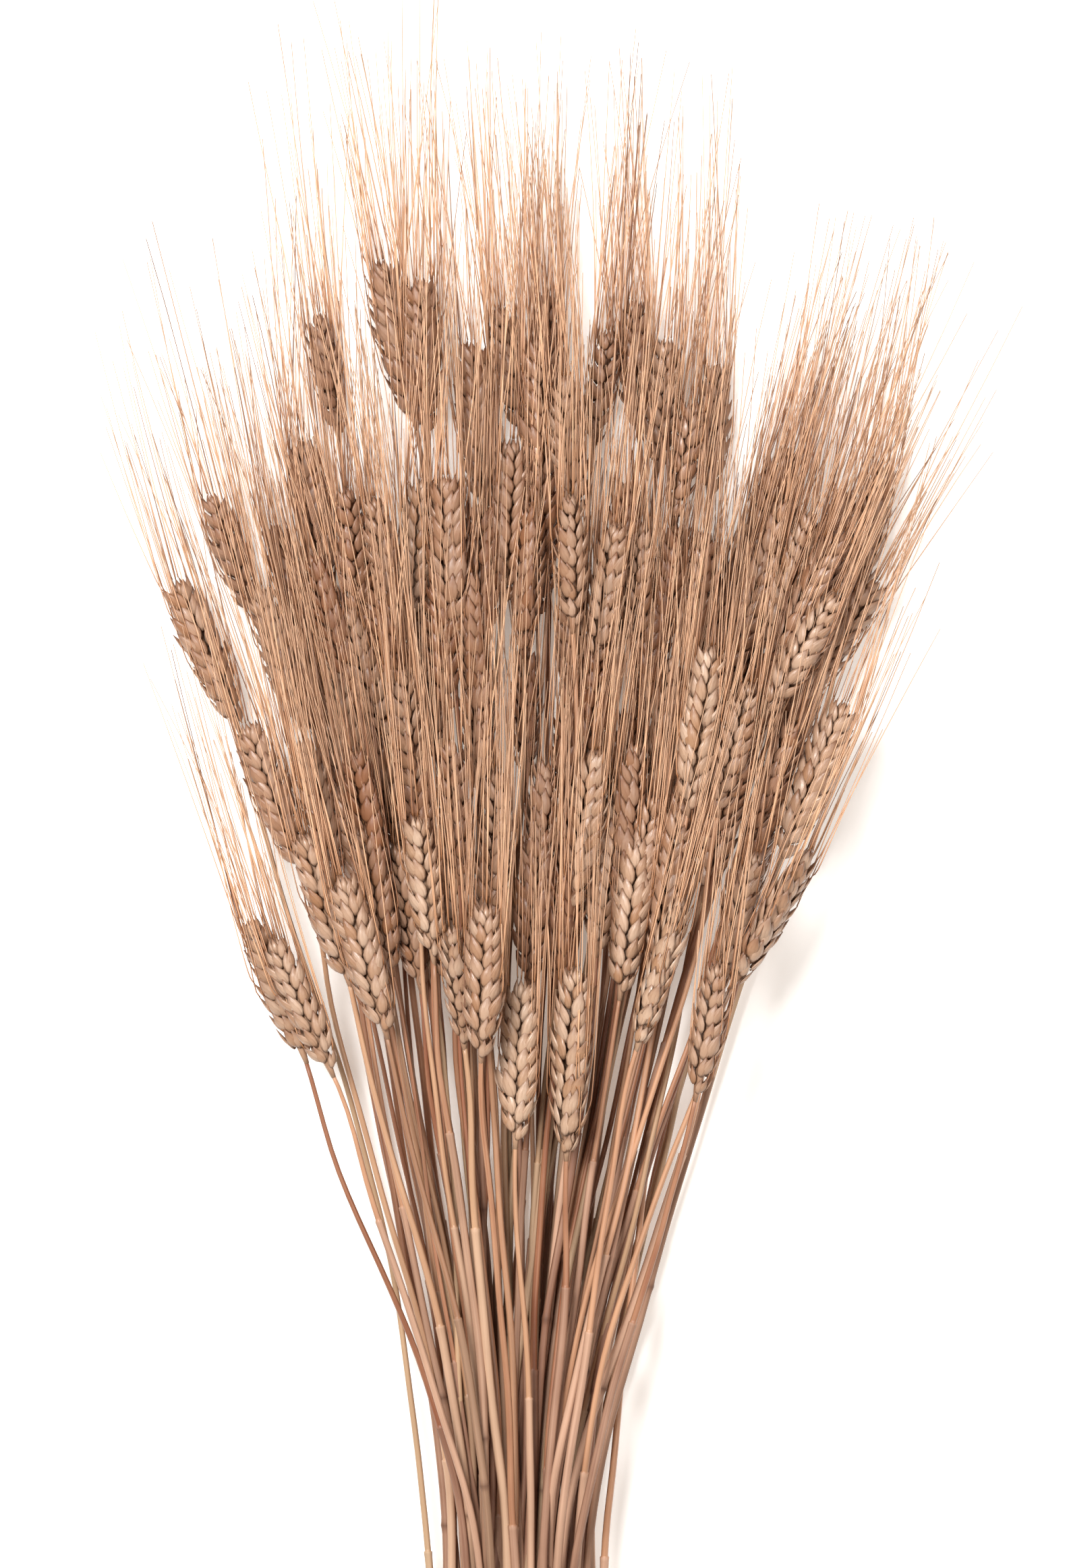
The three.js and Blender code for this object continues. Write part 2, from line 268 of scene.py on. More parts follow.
def chaffMaterial(look):
    material, tree = newMaterial("dried_chaff")
    uv = addNode(tree, "ShaderNodeUVMap", uv_map="UVMap")
    seen = addNode(tree, "ShaderNodeAttribute", attribute_name="look").outputs["Vector"]
    tone, along, ageAndShade = addNode(tree, "ShaderNodeSeparateXYZ", {"Vector": seen}).outputs
    place = addNode(tree, "ShaderNodeTexCoord").outputs["Object"]
    mottling = addNode(tree, "ShaderNodeTexNoise",
                       {"Vector": place, "Scale": look["mottling"], "Detail": 3.0})
    nervePlace = addNode(tree, "ShaderNodeMapping",
                         {"Vector": uv, "Scale": (look["nerves"], 0.12, 1)})
    nerves = addNode(tree, "ShaderNodeTexNoise",
                     {"Vector": nervePlace, "Scale": 1.0, "Detail": 1.5})

    # Pale to warm by the husk's tone and its spots, then browned by age and painted shade, then brown
    # on nerves and point.
    warmth = addNode(tree, "ShaderNodeMath", {0: mottling, 1: 0.5, 2: tone},
                     operation="MULTIPLY_ADD")
    warmth = addNode(tree, "ShaderNodeMapRange",
                     {"Value": warmth, "From Min": 0.35, "From Max": 1.2})
    body = addNode(tree, "ShaderNodeMix",
                   {0: warmth, 6: linear(look["pale"]), 7: linear(look["warm"])}, data_type="RGBA")
    # Browner with the ear's age, and with painted shade on the high ears and the inner ones.
    ageingAndShading = addNode(tree, "ShaderNodeMapRange", {"Value": ageAndShade, "To Max": 0.8})
    agedAndShaded = addNode(tree, "ShaderNodeMix",
                   {0: ageingAndShading, 6: body.outputs[2], 7: linear(look["agedAndShaded"])}, data_type="RGBA")
    pointed = addNode(tree, "ShaderNodeMapRange",
                      {"Value": along, "From Min": 0.5, "From Max": 1.05, "To Max": 0.85})
    nerveShade = addNode(tree, "ShaderNodeMapRange",
                         {"Value": nerves, "From Min": 0.45, "From Max": 0.68, "To Max": 0.42})
    edge = addNode(tree, "ShaderNodeMath", {0: pointed, 1: nerveShade}, operation="MAXIMUM")
    colour = addNode(tree, "ShaderNodeMix",
                     {0: edge, 6: agedAndShaded.outputs[2], 7: linear(look["tip"])}, data_type="RGBA")
    roughness = addNode(tree, "ShaderNodeMapRange",
                        {"Value": mottling, "From Min": 0.3, "From Max": 0.7,
                         "To Min": look["gloss"], "To Max": look["dull"]})
    bump = addNode(tree, "ShaderNodeBump",
                   {"Height": nerves, "Strength": 0.8, "Distance": look["nerveDepth"]})
    surface = addNode(tree, "ShaderNodeBsdfPrincipled",
                      {"Base Color": colour.outputs[2], "Roughness": roughness,
                       "Normal": bump, "IOR": 1.5})
    addNode(tree, "ShaderNodeOutputMaterial", {"Surface": surface})
    return material


# Awns: long stiff bristles, each a fine three-edged straw. They are reddish brown at the foot and
# bleach towards the tip, and catch the light along one edge. Their look holds the awn's tone, which
# deepens it, and the share of its length.
awnLook = {"foot": "#9F6B45", "middle": "#E3B189", "tip": "#D3A988", "deep": "#6D3D20"}


def awnMaterial(look):
    material, tree = newMaterial("dried_awn")
    seen = addNode(tree, "ShaderNodeAttribute", attribute_name="look").outputs["Vector"]
    tone, along, _ = addNode(tree, "ShaderNodeSeparateXYZ", {"Vector": seen}).outputs
    lower = addNode(tree, "ShaderNodeMapRange", {"Value": along, "From Max": 0.3})
    upper = addNode(tree, "ShaderNodeMapRange", {"Value": along, "From Min": 0.25})
    start = addNode(tree, "ShaderNodeMix",
                    {0: lower, 6: linear(look["foot"]), 7: linear(look["middle"])},
                    data_type="RGBA")
    bleached = addNode(tree, "ShaderNodeMix",
                       {0: upper, 6: start.outputs[2], 7: linear(look["tip"])}, data_type="RGBA")
    depth = addNode(tree, "ShaderNodeMapRange",
                    {"Value": tone, "From Min": 0.3, "From Max": 1.0, "To Max": 0.85})
    colour = addNode(tree, "ShaderNodeMix",
                     {0: depth, 6: bleached.outputs[2], 7: linear(look["deep"])}, data_type="RGBA")
    surface = addNode(tree, "ShaderNodeBsdfPrincipled",
                      {"Base Color": colour.outputs[2], "Roughness": 0.42, "IOR": 1.5})
    addNode(tree, "ShaderNodeOutputMaterial", {"Surface": surface})
    return material


straw = strawMaterial(strawLook)
chaff = chaffMaterial(chaffLook)
awn = awnMaterial(awnLook)
stalkMaterials = [straw, chaff, awn]
print("straw, chaff and awn materials made")


# The rings a stalk's solid was lofted through, as distances along Y, middles across and up, and
# radii. Corners at one distance are one ring, and its middle is halfway between its outermost ones.
def readRings(node):
    corners = np.empty(len(node.data.vertices) * 3, np.float32)
    node.data.vertices.foreach_get("co", corners)
    corners = corners.reshape(-1, 3).astype(float) / mm
    order = np.argsort(corners[:, 1])
    corners = corners[order]
    cuts = np.flatnonzero(np.diff(corners[:, 1]) > ringGap) + 1
    starts = np.concatenate([[0], cuts])
    high = np.maximum.reduceat(corners, starts)
    low = np.minimum.reduceat(corners, starts)
    middles = (high + low) / 2
    return {"y": middles[:, 1], "xz": middles[:, [0, 2]], "r": (high[:, 2] - low[:, 2]) / 2}


# A smooth line through the rings' middles: in each stretch, the cubic that has the middles at both
# ends and, as slopes there, the mean slopes of the neighbouring stretches.
def lineAt(line, y):
    knots, values = line["y"], line["xz"]
    slopes = np.gradient(values, knots, axis=0)
    i = np.clip(np.searchsorted(knots, y) - 1, 0, len(knots) - 2)
    span = (knots[i + 1] - knots[i])[..., None]
    t = (np.asarray(y)[..., None] - knots[i][..., None]) / span
    value = ((2 * t**3 - 3 * t**2 + 1) * values[i] + (t**3 - 2 * t**2 + t) * span * slopes[i]
             + (3 * t**2 - 2 * t**3) * values[i + 1] + (t**3 - t**2) * span * slopes[i + 1])
    return np.stack([value[..., 0], np.asarray(y, float), value[..., 1]], -1)


def directionAt(line, y):
    return unit(lineAt(line, np.asarray(y) + 0.5) - lineAt(line, np.asarray(y) - 0.5))


# Which of a stalk's rings these are: in the tie, the first one past it, and round the ear.
tieRing, freeRing = 1, 3
neckRing, earMiddleRing, earTipRing, tuftTipRing = 7, 9, 11, 13


stemSizes = {
    "cutRadius": 1.72, "sheathTopRadius": 1.5,  # over the leaf sheath
    "bareRadius": 1.26, "neckRadius": 0.86,
    "sheathTop": (100, 300), "sheathLength": (60, 150),  # mm from the cut end, and down to its joint
    "mostSheathed": 0.8,  # share of the stem that a sheath covers at most
    "lowestJoint": 12,  # mm from the cut end
    "jointed": 0.6,  # share of the stalks whose joint stands out
    "lip": 0.16, "lipLength": 2.2,  # mm that a sheath's lip stands out, and over which it does
    "jointSwell": 0.34, "jointLength": 1.5,
    "wall": 0.62, "boreDepth": 7,  # the bore over the outside, and mm
    "thickness": 0.09,  # spread of thickness from stalk to stalk
    "sways": ((2.2, 45), (0.3, 13), (0.6, 37)),  # mm, and mm for a radian: two across and one up
    "sides": 8, "step": 9.0,
}


# A tube along the middle line. Its radius falls slowly from the cut end, drops at the top of the
# sheath after a small lip, and swells in a bell curve at the joint. The middle sways as sines of
# the distance, but not in the tie and at the neck. The cut end is bored out.
def stemSkin(line, sizes, rng, thin, tone):
    start, neck = line["y"][0], line["y"][neckRing]
    sheathTop = start + min(rng.uniform(*sizes["sheathTop"]), sizes["mostSheathed"] * (neck - start))
    joint = max(sheathTop - rng.uniform(*sizes["sheathLength"]), start + sizes["lowestJoint"])
    jointed = rng.random() < sizes["jointed"]
    thin = thin * rng.normal(1, sizes["thickness"])
    y = np.concatenate([np.arange(start + 3, neck, sizes["step"]), [start, start + 0.5, neck],
                        sheathTop + np.array([-5, -2.2, -0.6, 0, 0.35, 1.2]),
                        joint + np.array([-3.2, -1.4, 0, 1.4, 3.2])])
    y = np.unique(np.round(y, 2))
    y = y[np.concatenate([[True], np.diff(y) > 0.2])]  # no two rings closer than 0.2 mm
    low = (y - start) / (sheathTop - start)
    high = np.clip((y - sheathTop) / (neck - sheathTop), 0, 1)
    sheathed = y <= sheathTop
    radius = np.where(sheathed,
                      sizes["cutRadius"] + (sizes["sheathTopRadius"] - sizes["cutRadius"]) * low
                      + sizes["lip"] * np.exp(-((sheathTop - y) / sizes["lipLength"]) ** 2),
                      sizes["bareRadius"] + (sizes["neckRadius"] - sizes["bareRadius"]) * high)
    bell = np.exp(-((y - joint) / sizes["jointLength"]) ** 2) * jointed
    radius = (radius + sizes["jointSwell"] * bell) * thin

    middle = lineAt(line, y)
    phases = rng.uniform(0, 6.28, 4)
    free = np.clip((y - start) / 60 - 1.2, 0, 1) * np.clip((neck - y) / 40, 0, 1)
    broad, fine, rise = [size * np.sin(y / length + phase)
                         for (size, length), phase in zip(sizes["sways"], phases)]
    middle[:, 0] += free * (broad + fine)
    middle[:, 2] += free * rise
    along = directionAt(line, y)
    # The bore: from its floor back to the cut face, then out over the rim.
    bore = sizes["wall"] * radius[0]
    middle = np.concatenate([middle[:1] + along[:1] * sizes["boreDepth"], middle[:1], middle])
    along = np.concatenate([along[:1], along[:1], along])
    radius = np.concatenate([[bore * 0.9, bore], radius])
    v = np.concatenate([[y[0] - sizes["boreDepth"], y[0]], y]) + rng.uniform(0, 900)
    sheath = np.concatenate([[1, 1], sheathed])
    dark = np.concatenate([[0.9, 0.35], bell * 0.75])  # painted shade in the bore and on its rim, and the joint's own dark

    up = np.array([0.0, 0.0, 1.0])
    right = unit(np.cross(along, up))
    over = np.cross(right, along)
    turn = np.arange(sizes["sides"]) * 2 * np.pi / sizes["sides"]
    rings = middle[:, None] + radius[:, None, None] * (over[:, None] * np.cos(turn)[:, None]
                                                       + right[:, None] * np.sin(turn)[:, None])
    look = np.stack([np.full(len(v), tone), sheath, dark], -1)
    return skin(rings[None], v[None], look[None], 0)


earSizes = {
    "spikeletPitch": 3.05,  # mm along the ear from one spikelet to the next, on the other side
    "filled": 0.88, "upTo": 0.9,  # shares of the ear: spikelets are counted over, and spread over
    "usualLength": 55, "scales": (0.85, 1.12),  # mm of an ear whose husks are as below, and limits
    "outline": [(0, 0.58), (0.1, 0.82), (0.28, 1.0), (0.6, 1.0), (0.8, 0.84), (1, 0.56)],
    "opening": [(0, 1.05), (0.5, 1), (1, 0.72)],  # share of the ear, and share of its husks' open
    "twist": 0.12, "unevenTurn": 0.05,  # radians in a third of the ear, and of one spikelet
    "unevenOpen": 3, "unevenLean": 2.5,  # degrees
    "unevenSpikelet": 0.04, "unevenHusk": 0.05,  # spreads of their sizes
    "tone": (0.42, 0.2), "topTone": (0.45, 0.15),  # mean and spread
    "topLength": 9.5, "topWidth": 4.2, "topBulge": 1.5,  # mm, the husks of the topmost spikelet
    "topOut": 0.9, "topOpen": 0.16,  # mm from the rachis to them, and how far they open
    "topSizes": [1, 0.95, 1, 0.95],
    "rachisRadius": 1.3, "rachisSides": 7, "rachisStations": 14,
    "rachisOutline": [(0, 0.7), (0.08, 1.05), (0.2, 1.5), (1, 0.8)],
}

# The husks of one spikelet. Each stands out from the ear's middle by out and apart to its side,
# starts rise above the spikelet's foot, opens away from the ear by open degrees and sideways by
# lean degrees, and turns its back outwards and sideways in the ratio of outward to sideward.
husks = [
    dict(out=1.4, side=1, apart=2.7, rise=0.0, open=15, lean=13, outward=0.45, sideward=1.0,
         length=10.2, width=5.2, bulge=0.9, awned=False),
    dict(out=1.4, side=-1, apart=2.7, rise=0.0, open=15, lean=13, outward=0.45, sideward=1.0,
         length=10.2, width=5.2, bulge=0.9, awned=False),
    dict(out=2.7, side=1, apart=1.5, rise=0.9, open=28, lean=10, outward=1.0, sideward=0.8,
         length=11.0, width=5.2, bulge=1.0, awned=True),
    dict(out=2.7, side=-1, apart=1.5, rise=0.9, open=28, lean=10, outward=1.0, sideward=0.8,
         length=11.0, width=5.2, bulge=1.0, awned=True),
    dict(out=2.4, side=0, apart=0.0, rise=1.8, open=27, lean=0, outward=1.0, sideward=0.0,
         length=9.8, width=4.2, bulge=0.9, awned=True),
]
husk = {name: np.array([h[name] for h in husks]) for name in husks[0]}

# A husk from foot to point: how far along, its half-width and its bulge there, as shares.
huskProfile = np.array([
    (0.00, 0.36, 0.42), (0.16, 0.80, 0.84), (0.40, 1.00, 1.00), (0.62, 0.80, 0.86),
    (0.82, 0.36, 0.48), (1.00, 0.06, 0.12),
])
huskShape = {"sides": 8, "keel": 0.3, "inside": 0.3, "curl": 0.11}  # shares of bulge, bulge, length


# Boat-shaped husks. At share s of its length a husk's section is half an ellipse on its back,
# with a keel along the middle, and nearly flat inside; its middle curls in towards the ear as s
# squared.
def huskSkin(foot, along, back, length, width, bulge, look):
    s, wide, deep = huskProfile.T
    side = np.cross(along, back)
    turn = np.arange(huskShape["sides"]) * 2 * np.pi / huskShape["sides"]
    outwards = np.where(np.cos(turn) > 0, np.cos(turn), huskShape["inside"] * np.cos(turn))
    outwards += huskShape["keel"] * (turn == 0)
    sideways = np.sin(turn)
    curl = huskShape["curl"] * length[:, None] * s**2
    middle = (foot[:, None] + along[:, None] * (length[:, None] * s)[..., None]
              - back[:, None] * curl[..., None])
    depth = bulge[:, None, None] * deep[:, None] * outwards
    spread = width[:, None, None] / 2 * wide[:, None] * sideways
    rings = (middle[:, :, None] + back[:, None, None] * depth[..., None]
             + side[:, None, None] * spread[..., None])
    tip = middle[:, -1]
    v = length[:, None] * s
    looks = np.stack([np.broadcast_to(look[:, :1], v.shape), np.broadcast_to(s, v.shape),
                      np.broadcast_to(look[:, 1:], v.shape)], -1)
    return skin(rings, v, looks, 1), tip


awnSizes = {
    "footRadius": 0.3, "tipRadius": 0.16, "taper": 0.8,  # the radius falls as this power of the share
    "overEar": 0.5,  # how much longer the longest is than the tuft's solid, over the ear's length
    "shortest": 0.4,  # share of that which the shortest has
    "fewLong": 0.95,  # over 1, more of them are short
    "pastTuft": 27,  # mm, the most that an awn stands past its tuft's solid
    "pastSides": 14,  # mm, the most that one stands out to the side of all the solids
    "kept": [(0.1, 0.55), (0.7, 0.78)],  # age and painted shade of the ear, and share of its outer husks with an awn
    "innerAwned": 0.3,  # share of the innermost husks that have one
    "innerBristled": 0.5,  # share of their awns that the inner stalks still have
    "opening": -0.1,  # degrees that awns lean away from the ear's axis, less than 0 is inwards
    "straying": [(0.1, 2.3), (0.8, 5.2)],  # age and painted shade of the ear, and how many degrees its awns vary
    "mostStraying": 12,  # degrees
    "turning": 0.9,  # radians that an awn leans to the side of its husk
    "straightening": 0.12,  # share of the tuft's lean that the awns give up
    "gathering": 1.6,  # mm over which it turns from its husk's slant to that lean
    "bow": 3.0, "lift": 1.8,  # mm that a tip is bent aside and outwards
    "sunk": 0.5,  # mm of its foot inside the husk's point
    "tone": (0.24, 0.34), "innerShadedTone": (0.55, 0.34),  # mean and spread; the inner one deeper, as painted shade
    "stations": [0, 0.02, 0.05, 0.1, 0.2, 0.36, 0.56, 0.78, 1],
}


# Awns: each leaves along its husk's slant and soon takes its own lean. At distance d along the ear
# it has moved outwards by d tan(lean) + (tan(slant) - tan(lean)) g (1 - exp(-d / g)), where
# outwards is first turned about the ear by a random angle. With t the share of its length it bends
# aside as t squared and outwards as t to the power 2.5, and an awn that would stand too far to the
# side of the bundle is bent back as t squared. Its section is a triangle.
def awnSkin(foot, slant, axis, reach, sizes, rng, tone, straying):
    count = len(foot)
    outward = slant - (slant @ axis)[:, None] * axis
    steep = np.linalg.norm(outward, axis=1) / np.maximum(slant @ axis, 0.2)
    outward = unit(outward)
    turned = rng.normal(0, sizes["turning"], count)[:, None]
    outward = outward * np.cos(turned) + np.cross(axis, outward) * np.sin(turned)
    lean = rng.normal(sizes["opening"], straying, count)
    lean = np.tan(np.radians(np.clip(lean, -sizes["mostStraying"], sizes["mostStraying"])))
    g = sizes["gathering"]
    t = np.array(sizes["stations"])
    d = reach[:, None] * t
    away = d * lean[:, None] + (steep - lean)[:, None] * g * (1 - np.exp(-d / g))
    aside = np.cross(axis, outward)
    bow = rng.normal(0, sizes["bow"], count)[:, None] * t**2
    lift = rng.normal(0, sizes["lift"], count)[:, None] * t**2.5
    middle = (foot[:, None] + axis * d[..., None] + outward[:, None] * (away + lift)[..., None]
              + aside[:, None] * bow[..., None])
    furthest = cadBox[1][0] / mm + sizes["pastSides"]
    past = np.maximum(np.abs(middle[:, -1, 0]) - furthest, 0) * np.sign(middle[:, -1, 0])
    middle[..., 0] -= past[:, None] * t**2
    radius = sizes["footRadius"] + (sizes["tipRadius"] - sizes["footRadius"]) * t**sizes["taper"]
    middle[..., 2] = np.maximum(middle[..., 2], lowest + radius)
    over = unit(np.cross(np.cross(axis, [0, 0, 1.0]), axis))
    right = np.cross(axis, over)
    turn = rng.uniform(0, 2.1, count)[:, None] + np.arange(3) * 2 * np.pi / 3
    ring = over * np.cos(turn)[..., None] + right * np.sin(turn)[..., None]
    rings = middle[:, :, None] + radius[:, None, None] * ring[:, None]
    looks = np.stack([np.broadcast_to(tone[:, None], d.shape), np.broadcast_to(t, d.shape),
                      np.zeros(d.shape)], -1)
    return skin(rings, d, looks, 2)


# An ear: spikelets stand alternately on the two sides of a thin rachis, each a fan of five husks,
# smaller at the foot and the top of the ear, and the topmost closes over it.
def earSkins(line, sizes, roll, rng, ageAndShade, inner):
    neck, top, tuftTop = line["y"][[neckRing, earTipRing, tuftTipRing]]
    ends = lineAt(line, np.array([neck, top, tuftTop]))
    earLength = np.linalg.norm(ends[1] - ends[0])
    axis = unit((ends[2] - ends[0]) * [1 - awnSizes["straightening"], 1, 1])
    count = int(earLength * sizes["filled"] / sizes["spikeletPitch"])
    share = (np.arange(count) + 0.35) / count * sizes["upTo"]
    hand = np.where(np.arange(count) % 2 == 0, 1.0, -1.0)
    y = neck + (top - neck) * share
    middle, along = lineAt(line, y), directionAt(line, y)
    level = unit(np.cross(along, [0, 0, 1.0]))
    over = np.cross(level, along)
    turned = roll + rng.normal(0, sizes["twist"]) * (share - 0.5) * 3
    turned = turned + rng.normal(0, sizes["unevenTurn"], count)
    out = level * np.cos(turned)[:, None] + over * np.sin(turned)[:, None]
    out = out * hand[:, None]
    across = np.cross(along, out)
    scale = heightAt(sizes["outline"], share) * rng.normal(1, sizes["unevenSpikelet"], count)
    scale = scale * np.clip(earLength / sizes["usualLength"], *sizes["scales"])

    # Every husk of every spikelet, spikelets by rows and husks by columns.
    grid = (count, len(husks))
    opening = np.radians(husk["open"] * heightAt(sizes["opening"], share)[:, None]
                         + rng.normal(0, sizes["unevenOpen"], grid))
    leaning = np.radians(husk["lean"] + rng.normal(0, sizes["unevenLean"], grid)) * husk["side"]
    size = scale[:, None]
    foot = (middle[:, None] + out[:, None] * (husk["out"] * size)[..., None]
            + across[:, None] * (husk["side"] * husk["apart"] * size)[..., None]
            + along[:, None] * (husk["rise"] * size)[..., None])
    husksAlong = unit(along[:, None] * np.cos(opening)[..., None]
                      + out[:, None] * np.sin(opening)[..., None]
                      + across[:, None] * np.sin(leaning)[..., None])
    back = (out[:, None] * husk["outward"][:, None]
            + across[:, None] * (husk["side"] * husk["sideward"])[:, None])
    back = unit(back - (back * husksAlong).sum(-1, keepdims=True) * husksAlong)
    tones = np.clip(rng.normal(*sizes["tone"], grid), 0, 1)
    looks = np.stack([tones, np.full_like(tones, ageAndShade)], -1)
    wobble = rng.normal(1, sizes["unevenHusk"], (3, *grid))
    huskPart, tips = huskSkin(
        foot.reshape(-1, 3), husksAlong.reshape(-1, 3), back.reshape(-1, 3),
        (husk["length"] * size * wobble[0]).ravel(), (husk["width"] * size * wobble[1]).ravel(),
        (husk["bulge"] * size * wobble[2]).ravel(), looks.reshape(-1, 2))

    # The topmost spikelet stands on the end of the rachis and turns its broad side the other way.
    topAlong = directionAt(line, np.array([top]))[0]
    topFoot = lineAt(line, np.array([neck + (top - neck) * sizes["upTo"]]))[0]
    around = np.arange(4) * np.pi / 2 + turned[-1]
    topOut = (np.cos(around)[:, None] * level[-1] + np.sin(around)[:, None] * over[-1])
    slant = unit(topAlong + topOut * sizes["topOpen"])
    topBack = unit(topOut - (topOut * slant).sum(1, keepdims=True) * slant)
    topSize = scale[-1] * np.array(sizes["topSizes"])
    topLooks = np.stack([np.clip(rng.normal(*sizes["topTone"], 4), 0, 1), np.full(4, ageAndShade)], -1)
    topPart, topTips = huskSkin(topFoot + topOut * sizes["topOut"], slant, topBack,
                                sizes["topLength"] * topSize, sizes["topWidth"] * topSize,
                                sizes["topBulge"] * topSize, topLooks)

    # Awns stand on the points of those husks that still have one, and on the four topmost.
    bristled = awnSizes["innerBristled"] if inner else 1.0
    kept = heightAt(awnSizes["kept"], ageAndShade)
    awned = np.broadcast_to(husk["awned"], grid).copy()
    awned &= rng.random(grid) < bristled * np.where(husk["side"] == 0, awnSizes["innerAwned"], kept)
    slants = husksAlong[awned]
    feet = tips.reshape(count, -1, 3)[awned] - slants * awnSizes["sunk"]
    feet = np.concatenate([feet, topTips])
    slants = np.concatenate([slants, slant])
    longest = np.linalg.norm(ends[2] - ends[1]) + awnSizes["overEar"] * earLength
    fullness = rng.random(len(feet)) ** awnSizes["fewLong"]
    reach = longest * (awnSizes["shortest"] + (1 - awnSizes["shortest"]) * fullness)
    reach = np.minimum(reach, (ends[2] - feet) @ axis + awnSizes["pastTuft"])
    # The inner stalks' awns take a deeper tone, as painted shade.
    awnTone = awnSizes["innerShadedTone" if inner else "tone"]
    awnPart = awnSkin(feet, slants, axis, reach, awnSizes, rng,
                      np.clip(rng.normal(*awnTone, len(reach)), 0, 1),
                      heightAt(awnSizes["straying"], ageAndShade))

    # The rachis itself, hidden inside, which thickens over the small collar at its foot.
    stations = sizes["rachisStations"]
    yRachis = np.linspace(neck - 2.5, neck + (top - neck) * 0.93, stations)
    core = lineAt(line, yRachis)
    radius = sizes["rachisRadius"] * heightAt(sizes["rachisOutline"], np.linspace(0, 1, stations))
    turn = np.arange(sizes["rachisSides"]) * 2 * np.pi / sizes["rachisSides"]
    rings = core[:, None] + radius[:, None, None] * (over[0] * np.cos(turn)[:, None]
                                                     + level[0] * np.sin(turn)[:, None])
    rachisLook = np.tile([0.6, 0.3, ageAndShade], (stations, 1))
    rachisPart = skin(rings[None], yRachis[None], rachisLook[None], 1)
    return [rachisPart, huskPart, topPart, awnPart]


bundleLook = {
    "seed": 11,
    "rollSpread": 0.45,  # radians that an ear is turned about its own length
    "rolls": {"wheat_stalk_01": 0.0, "wheat_stalk_52": 0.05, "wheat_stalk_53": 0.5},  # set one by one
    "lowestEar": 190, "earsOver": 280,  # mm from the tie to the lowest ear, and on to the highest
    "ageingAndShading": 0.75, "ages": (0.05, 0.16),  # how much the highest gains in age and in painted shade, and mean and spread of the age
    "innerStalks": 60,  # thinner stalks between the modelled ones, as in a real bunch
    "innerThinness": 0.88,
    "innerPaintedShade": 0.45,  # painted shade: how much browner they are than the outer ones, lying among them
    "innerEars": (250, 395),  # mm from the tie to the lowest and the highest of their ears
    "innerPairs": (7.5, 170),  # mm between two neighbours at most, in the tie and at the ears
    "innerLeaning": (-0.045, 0, 0.045),  # mm to a side for every mm from the tie
    "innerWithin": 0.27,  # how far to a side their ears stand at most, over the distance from the tie
    "innerDrop": 3.0,  # mm that they lie below the lower of their two neighbours
}


# A stalk with all that grew on it. Its ear's age and painted shade is 0 where palest, 1 where brownest.
def makeStalk(name, line, rng, roll=None, inner=False):
    thin = bundleLook["innerThinness"] if inner else 1.0
    # Painted shade on the inner stalks: their straw starts at a deeper tone and their ears are browner.
    innerShade = bundleLook["innerPaintedShade"] * inner
    stalkTone = innerShade + (1 - innerShade) * rng.random()
    # Painted shade: the higher an ear, the deeper it lies under the others, so the browner it is made;
    # the inner stalks get more. The rest of the age is random.
    height = (line["y"][neckRing] - tieY - bundleLook["lowestEar"]) / bundleLook["earsOver"]
    ageAndShade = np.clip(height * bundleLook["ageingAndShading"] + rng.normal(*bundleLook["ages"]) + innerShade, 0, 1)
    if roll is None:
        roll = rng.normal(0, bundleLook["rollSpread"])
    skins = [stemSkin(line, stemSizes, rng, thin, stalkTone)]
    skins += earSkins(line, earSizes, roll, rng, ageAndShade, inner)
    piece = makePiece(name, skins, stalkMaterials)
    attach(piece, "root")
    return piece


tieLow, tieHigh = (np.array(corner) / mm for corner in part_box("twine_binding"))
tieY = (tieLow[1] + tieHigh[1]) / 2
lines = {}
for name in sorted(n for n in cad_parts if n.startswith("wheat_stalk_")):
    lines[name] = readRings(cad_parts[name])
    rng = np.random.default_rng([bundleLook["seed"], int(name[-2:])])
    piece = makeStalk(name.replace("wheat_stalk", "bearded_ear"), lines[name], rng,
                      roll=bundleLook["rolls"].get(name))
    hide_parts(name)
print("stalks made:", len(lines))

# The inner stalks run midway between two neighbours in the tie, leaning a little to either side or
# not at all. Each takes the place whose ear would be furthest from every ear that is there already.
tied = {name: line["xz"][tieRing] for name, line in lines.items()}
earMiddle = {name: lineAt(line, line["y"][[earMiddleRing]])[0] for name, line in lines.items()}
names = list(lines)
pairs = [(a, b) for i, a in enumerate(names) for b in names[i + 1:]
         if np.linalg.norm(tied[a] - tied[b]) < bundleLook["innerPairs"][0]
         and np.linalg.norm(earMiddle[a] - earMiddle[b]) < bundleLook["innerPairs"][1]]
between, spots = [], []
for a, b in pairs:
    lower = np.minimum(lines[a]["xz"][:, 1], lines[b]["xz"][:, 1]) - bundleLook["innerDrop"]
    for leaning in bundleLook["innerLeaning"]:
        middle = {key: (lines[a][key] + lines[b][key]) / 2 for key in ("y", "xz", "r")}
        middle["xz"][:, 0] += leaning * np.maximum(middle["y"] - tieY, 0)
        middle["xz"][freeRing:, 1] = np.maximum(lower, middle["r"])[freeRing:]
        between.append(middle)
        spots.append(lineAt(middle, middle["y"][[earMiddleRing]])[0])
spots = np.array(spots)
above = np.array([middle["y"][neckRing] for middle in between]) - tieY
low, high = bundleLook["innerEars"]
allowed = (above > low) & (above < high)
allowed &= np.abs(spots[:, 0]) < bundleLook["innerWithin"] * (spots[:, 1] - tieY)
room = np.min([np.linalg.norm((spots - ear)[:, :2], axis=1) for ear in earMiddle.values()], axis=0)
room[~allowed] = 0
